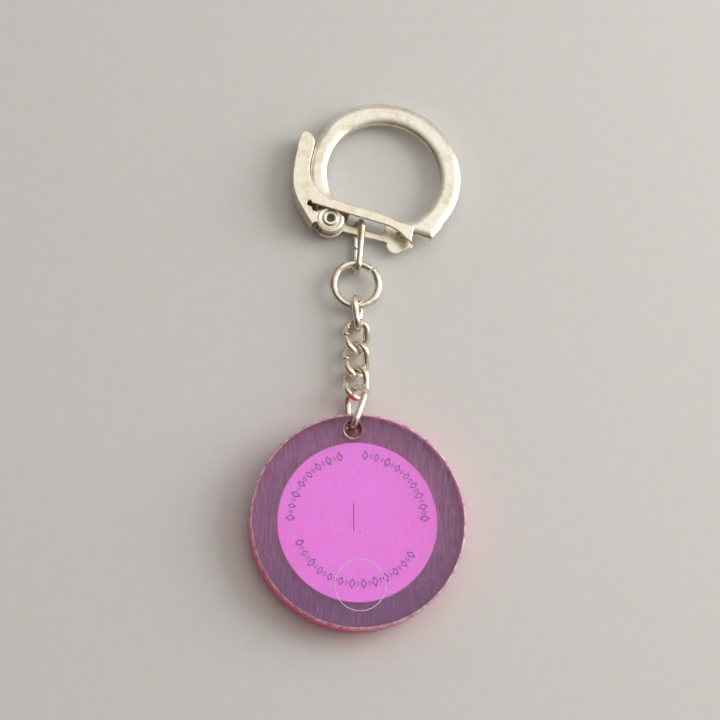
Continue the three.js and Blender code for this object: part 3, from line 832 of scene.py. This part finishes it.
def worn_rim(mesh, height, seed):
    for vertex in mesh.vertices:
        x, y, z = vertex.co
        radius = math.hypot(x, y)
        near = abs(z - height) < RIM_ROUND + 0.01 and radius > DISC_RADIUS - RIM_ROUND - 0.2
        if not near:
            continue
        wear = chips(math.atan2(y, x), z, seed)
        vertex.co.x -= x / radius * wear
        vertex.co.y -= y / radius * wear
        vertex.co.z += wear * (-0.6 if z > DISC_BACK_THICKNESS else 0.6)


def rim_arc(height, sign, steps=6):
    """Points of the rim's rounding, from the face to the side wall."""
    corners = []
    for k in range(steps + 1):
        angle = math.pi / 2 * k / steps
        corners.append((DISC_RADIUS - RIM_ROUND + RIM_ROUND * math.sin(angle),
                        height - sign * RIM_ROUND * (1 - math.cos(angle))))
    return corners


def pierced(mesh, name):
    """The half with the hole drilled through it; the hole's lips are rubbed open."""
    lip = 0.34
    reach = 0.5
    profile = [
        (0, -reach), (HOLE_RADIUS + lip + 0.3, -reach), (HOLE_RADIUS + lip, 0),
        (HOLE_RADIUS + 0.12, lip * 0.5), (HOLE_RADIUS, lip * 1.3),
        (HOLE_RADIUS, DISC_THICKNESS - lip * 1.3),
        (HOLE_RADIUS + 0.12, DISC_THICKNESS - lip * 0.5),
        (HOLE_RADIUS + lip, DISC_THICKNESS),
        (HOLE_RADIUS + lip + 0.3, DISC_THICKNESS + reach), (0, DISC_THICKNESS + reach),
    ]
    # the lips take the rim's pale finish, whose paleness here is a painted highlight
    bore, lips = 0, 1
    sections = [lips, lips, lips, bore, bore, bore, lips, lips, lips]
    cutter_mesh = lathe("drill", profile, 72, sections, False)
    cutter_mesh.transform(Matrix.Translation((HOLE_X, HOLE_Y, 0)))
    cutter_mesh.materials.append(disc_hole)
    cutter_mesh.materials.append(disc_rim)
    drill = new_object("drill", cutter_mesh)
    piece = new_object(name + "_blank", mesh)
    drilled = piece.modifiers.new("drilled", "BOOLEAN")
    drilled.operation = "DIFFERENCE"
    drilled.solver = "EXACT"
    drilled.material_mode = "TRANSFER"
    drilled.object = drill
    result = evaluated_mesh(piece, name)
    bpy.data.objects.remove(drill)
    return result


def disc_piece(mesh, name, node, angle=35):
    mesh.transform(in_place(DISC_FRAME))
    smooth_shaded(mesh, angle)
    piece = new_object(name, mesh)
    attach(piece, "disc")
    if node:
        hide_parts(node)


FACE, RIM, SIDE, BORDER_SHADE = 0, 1, 2, 3
radii = [0, 3, 6, 9, 12, POCKET_RADIUS, 15, 16.5]

# the front half is hollowed underneath for the papers
front_profile = [(0, POCKET_TOP), (POCKET_RADIUS, POCKET_TOP), (POCKET_RADIUS, DISC_FRONT_START),
                 (DISC_RADIUS - 0.05, DISC_FRONT_START), (DISC_RADIUS, DISC_FRONT_START + 0.05)]
front_finish = [FACE, FACE, FACE, SIDE]
front_rim = list(reversed(rim_arc(DISC_THICKNESS, 1)))
front_profile += front_rim
front_finish += [SIDE] + [RIM] * (len(front_rim) - 1)
face_radii = list(reversed(radii))
front_profile += [(r, DISC_THICKNESS) for r in face_radii]
front_finish += [FACE] * len(face_radii)
front_mesh = lathe("disc_front_half", front_profile, DISC_SIDES, front_finish, False)
worn_rim(front_mesh, DISC_THICKNESS, 3.0)
for finish in (disc_clear, disc_rim, disc_side):
    front_mesh.materials.append(finish)
disc_piece(pierced(front_mesh, "disc_front_half"), "disc_front_half", "disc_front")

# the back half is a flat plate, its border painted dusky as shade
back_profile = [(0, DISC_BACK_THICKNESS), (POCKET_RADIUS, DISC_BACK_THICKNESS),
                (DISC_RADIUS - 0.05, DISC_BACK_THICKNESS),
                (DISC_RADIUS, DISC_BACK_THICKNESS - 0.05)]
back_finish = [FACE, BORDER_SHADE, SIDE]
back_rim = list(reversed(rim_arc(0, -1)))
back_profile += back_rim
back_finish += [SIDE] + [RIM] * (len(back_rim) - 1)
back_profile += [(r, 0) for r in face_radii]
back_finish += [FACE] * len(face_radii)
back_mesh = lathe("disc_back_half", back_profile, DISC_SIDES, back_finish, False)
worn_rim(back_mesh, 0, 8.0)
for finish in (disc_clear, disc_rim, disc_side, disc_border_shade):
    back_mesh.materials.append(finish)
disc_piece(pierced(back_mesh, "disc_back_half"), "disc_back_half", "disc_back")


# ---- the papers and their printed border

def paper_disc(name, node, low, seed):
    """A punched round of paper, a little wavy, as it lies in the pocket."""
    rounds = [LABEL_RADIUS * k / 16 for k in range(1, 17)]
    top = low + LABEL_THICKNESS
    profile = [(0, low), *[(r, low) for r in rounds], *[(r, top) for r in reversed(rounds)],
               (0, top)]
    mesh = lathe(name, profile, 128, close_ends=False)
    for vertex in mesh.vertices:
        place = Vector((vertex.co.x * 0.12, vertex.co.y * 0.12, seed))
        vertex.co.z += 0.05 * noise.noise(place)
    mesh.materials.append(label_paper)
    disc_piece(mesh, name, node, 40)


paper_disc("front_paper", "label_front", FRONT_LABEL_Z, 1.0)
paper_disc("back_paper", "label_back", BACK_LABEL_Z, 5.0)


def ornament_tree():
    """A row of small lozenges on an arc, each turned to the arc, every second one smaller."""
    tree = bpy.data.node_groups.new("printed_border", "GeometryNodeTree")
    sockets = {}
    for name, kind in (("Blank", "NodeSocketGeometry"), ("Arc Radius", "NodeSocketFloat"),
                       ("Start", "NodeSocketFloat"), ("Sweep", "NodeSocketFloat"),
                       ("Count", "NodeSocketInt"), ("Lozenge Size", "NodeSocketFloat"),
                       ("Lean", "NodeSocketFloat"), ("Finish", "NodeSocketMaterial")):
        sockets[name] = tree.interface.new_socket(name, in_out="INPUT", socket_type=kind)
    tree.interface.new_socket("Border", in_out="OUTPUT", socket_type="NodeSocketGeometry")
    given = add_node(tree, "NodeGroupInput")
    arc = add_node(tree, "GeometryNodeCurveArc", {"mode": "RADIUS"},
                   links={"Resolution": given.outputs["Count"],
                          "Radius": given.outputs["Arc Radius"],
                          "Start Angle": given.outputs["Start"],
                          "Sweep Angle": given.outputs["Sweep"]})
    stops = add_node(tree, "GeometryNodeCurveToPoints", {"mode": "EVALUATED"},
                     links={"Curve": arc.outputs[0]})
    index = add_node(tree, "GeometryNodeInputIndex")
    odd = add_node(tree, "ShaderNodeMath", {"operation": "MODULO"},
                   links={0: index.outputs[0]}, values={1: 2.0})
    jitter = add_node(tree, "FunctionNodeRandomValue", {"data_type": "FLOAT"},
                      values={"Seed": 7})
    floats = [s for s in jitter.inputs if s.name in ("Min", "Max") and s.enabled]
    floats[0].default_value, floats[1].default_value = 0.85, 1.1
    varied = [s for s in jitter.outputs if s.enabled][0]
    smaller = add_node(tree, "ShaderNodeMath", {"operation": "MULTIPLY_ADD"},
                       links={0: odd.outputs[0]}, values={1: -0.45, 2: 1.0})
    size = add_node(tree, "ShaderNodeMath", {"operation": "MULTIPLY"},
                    links={0: smaller.outputs[0], 1: varied})
    full = add_node(tree, "ShaderNodeMath", {"operation": "MULTIPLY"},
                    links={0: size.outputs[0], 1: given.outputs["Lozenge Size"]})
    laid = add_node(tree, "GeometryNodeInstanceOnPoints",
                    links={"Points": stops.outputs[0], "Instance": given.outputs["Blank"],
                           "Scale": full.outputs[0]})
    position = add_node(tree, "GeometryNodeInputPosition")
    parts = add_node(tree, "ShaderNodeSeparateXYZ", links={0: position.outputs[0]})
    bearing = add_node(tree, "ShaderNodeMath", {"operation": "ARCTAN2"},
                       links={0: parts.outputs[1], 1: parts.outputs[0]})
    leaned = add_node(tree, "ShaderNodeMath", {"operation": "ADD"},
                      links={0: bearing.outputs[0], 1: given.outputs["Lean"]})
    spin = add_node(tree, "FunctionNodeAxisAngleToRotation", values={"Axis": (0, 0, 1)},
                    links={"Angle": leaned.outputs[0]})
    tree.links.new(spin.outputs[0], laid.inputs["Rotation"])
    real = add_node(tree, "GeometryNodeRealizeInstances", links={0: laid.outputs[0]})
    painted = add_node(tree, "GeometryNodeSetMaterial",
                       links={"Geometry": real.outputs[0], "Material": given.outputs["Finish"]})
    add_node(tree, "NodeGroupOutput", links={"Border": painted.outputs[0]})
    return tree, {name: socket.identifier for name, socket in sockets.items()}


ORNAMENT_TREE, ORNAMENT_SOCKETS = ornament_tree()


def lozenge_mesh(length=1.0, width=0.62, stroke=0.11, thick=0.02):
    """An open lozenge drawn with a thin stroke, as a flat printed shape with some body."""
    corners = [(length / 2, 0), (0, width / 2), (-length / 2, 0), (0, -width / 2)]
    share = 1 - 2 * stroke / width
    rings = [[(x * s, y * s, z) for x, y in corners]
             for s, z in ((1, 0), (1, thick), (share, thick), (share, 0))]
    faces = []
    for ring in range(4):
        for k in range(4):
            ahead, above = (k + 1) % 4, (ring + 1) % 4
            faces.append((ring * 4 + k, ring * 4 + ahead, above * 4 + ahead, above * 4 + k))
    mesh = bpy.data.meshes.new("lozenge")
    mesh.from_pydata([spot for ring in rings for spot in ring], [], faces)
    return mesh


def line_mesh(name, length, width, thick=0.02):
    """A printed line along Y, as a thin flat body with its ends drawn to a point."""
    across, along = width / 2, length / 2
    outline = [(-across, -along * 0.95), (0, -along), (across, -along * 0.95),
               (across, along * 0.95), (0, along), (-across, along * 0.95)]
    count = len(outline)
    low = [(x, y, 0) for x, y in outline]
    high = [(x, y, thick) for x, y in outline]
    sides = [(k, (k + 1) % count, count + (k + 1) % count, count + k) for k in range(count)]
    faces = [tuple(reversed(range(count))), tuple(range(count, 2 * count)), *sides]
    mesh = bpy.data.meshes.new(name)
    mesh.from_pydata(low + high, [], faces)
    return mesh


PRINT_Z = FRONT_LABEL_Z + LABEL_THICKNESS + 0.045


def border_mesh(name, radius, start, sweep, count, size):
    guide = new_object(name + "_guide", lozenge_mesh())
    rows = guide.modifiers.new("printed_border", "NODES")
    rows.node_group = ORNAMENT_TREE
    rows[ORNAMENT_SOCKETS["Arc Radius"]] = float(radius)
    rows[ORNAMENT_SOCKETS["Start"]] = math.radians(start)
    rows[ORNAMENT_SOCKETS["Sweep"]] = math.radians(sweep)
    rows[ORNAMENT_SOCKETS["Count"]] = count
    rows[ORNAMENT_SOCKETS["Lozenge Size"]] = float(size)
    rows[ORNAMENT_SOCKETS["Lean"]] = 0.0
    rows[ORNAMENT_SOCKETS["Finish"]] = label_ink
    mesh = evaluated_mesh(guide, name)
    mesh.transform(Matrix.Translation((0, 0, PRINT_Z)))
    return mesh


for side, numbers in {
    "upper_left": (11.2, 178, -72, 15, 1.7),
    "upper_right": (11.2, 84, -80, 17, 1.7),
    "lower": (10.3, 201, 128, 25, 1.7),
}.items():
    row_mesh = border_mesh(f"printed_row_{side}", *numbers)
    disc_piece(row_mesh, f"printed_row_{side}", None, 30)

# a register line, from the middle up
tick_mesh = line_mesh("register_line", 4.7, 0.17)
tick_mesh.transform(Matrix.Translation((-0.7, 0.75, PRINT_Z)))
tick_mesh.materials.append(label_ink)
disc_piece(tick_mesh, "register_line", None, 30)

# the witness ring that the mould left on the front face
WITNESS_PLACE = Vector((0.25, -10.7, DISC_THICKNESS))
WITNESS_RADIUS = 4.2
WITNESS_WIRE = 0.16
WITNESS_STEPS = 128

witness_path = []
for step in range(WITNESS_STEPS + 1):
    angle = TURN * step / WITNESS_STEPS
    round_it = Vector((math.cos(angle), math.sin(angle), 0)) * WITNESS_RADIUS
    witness_path.append(in_place(DISC_FRAME) @ (WITNESS_PLACE + round_it))
witness_ring = drawn_wire("moulding_witness_ring", witness_path, WITNESS_WIRE, disc_witness,
                          0.01, 0.03)
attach(witness_ring, "disc")


# ---- the table, the light and the camera

def table_top():
    mesh = bpy.data.meshes.new("table_top")
    side = 1.5
    mesh.from_pydata([(-side, -side, 0), (side, -side, 0), (side, side, 0), (-side, side, 0)],
                     [], [(0, 1, 2, 3)])
    top = new_object("table_top", mesh)
    top.location.z = -0.00002
    material, tree = finish_tree("pale_matt_board")
    grain = pattern(tree, (0, 0, 0), 0, (0.4, 0.4, 0.4), 3.0, 0.5)
    colour = add_node(tree, "ShaderNodeValToRGB", links={"Fac": grain.outputs[0]},
                      stops=((0.2, "#DDDBD7"), (0.8, "#E1DFDB")))
    shader = add_node(tree, "ShaderNodeBsdfPrincipled",
                      links={"Base Color": colour.outputs["Color"]},
                      values={"Roughness": 0.8})
    close_finish(tree, shader)
    mesh.materials.append(material)


table_top()


def soft_box(name, place, size, watts, colour):
    lamp = bpy.data.lights.new(name, "AREA")
    lamp.shape = "RECTANGLE"
    lamp.size, lamp.size_y = size
    lamp.energy = watts
    lamp.color = linear(colour)[:3]
    holder = new_object(name, lamp)
    holder.location = place
    holder.rotation_euler = (-Vector(place)).to_track_quat("-Z", "Y").to_euler()


soft_box("key_window", (0.44, 0.12, 0.24), (0.34, 0.40), 1.7, "#FFFFFF")
soft_box("top_sheet", (0.06, 0.19, 0.58), (0.60, 0.60), 0.62, "#FFFFFF")

room = bpy.data.worlds.new("studio_room")
bpy.context.scene.world = room
room.use_nodes = True
room.node_tree.nodes.clear()
facing = add_node(room.node_tree, "ShaderNodeTexCoord")
towards_window = add_node(room.node_tree, "ShaderNodeVectorMath", {"operation": "DOT_PRODUCT"},
                          links={0: facing.outputs["Generated"]}, values={1: (0.80, 0.60, 0)})
around = add_node(room.node_tree, "ShaderNodeMapRange",
                  links={"Value": towards_window.outputs["Value"]},
                  values={"From Min": -0.9, "From Max": 0.9})
walls_colour = add_node(room.node_tree, "ShaderNodeValToRGB", links={"Fac": around.outputs[0]},
                        stops=((0.12, "#5E4E3E"), (0.80, "#EDECEA")))
glow = add_node(room.node_tree, "ShaderNodeBackground",
                links={"Color": walls_colour.outputs["Color"]}, values={"Strength": 0.75})
add_node(room.node_tree, "ShaderNodeOutputWorld", links={"Surface": glow.outputs[0]})

bpy.context.scene.view_settings.view_transform = "Standard"

AIM = Vector((0.48, -0.29, 1.99)) * MM
DISTANCE = 350 * MM
TOWARDS_CAMERA = Vector((-0.10626, -0.27564, 0.95537)).normalized()
camera_data = bpy.data.cameras.new("camera")
camera_data.sensor_width = 36
camera_data.lens = 103
camera_data.clip_start = 0.01
camera = new_object("camera", camera_data)
camera.location = AIM + TOWARDS_CAMERA * DISTANCE
to_right = Vector((0, 1, 0)).cross(TOWARDS_CAMERA).normalized()
upwards = TOWARDS_CAMERA.cross(to_right)
camera.rotation_euler = Matrix((to_right, upwards, TOWARDS_CAMERA)).transposed().to_euler()
bpy.context.scene.camera = camera
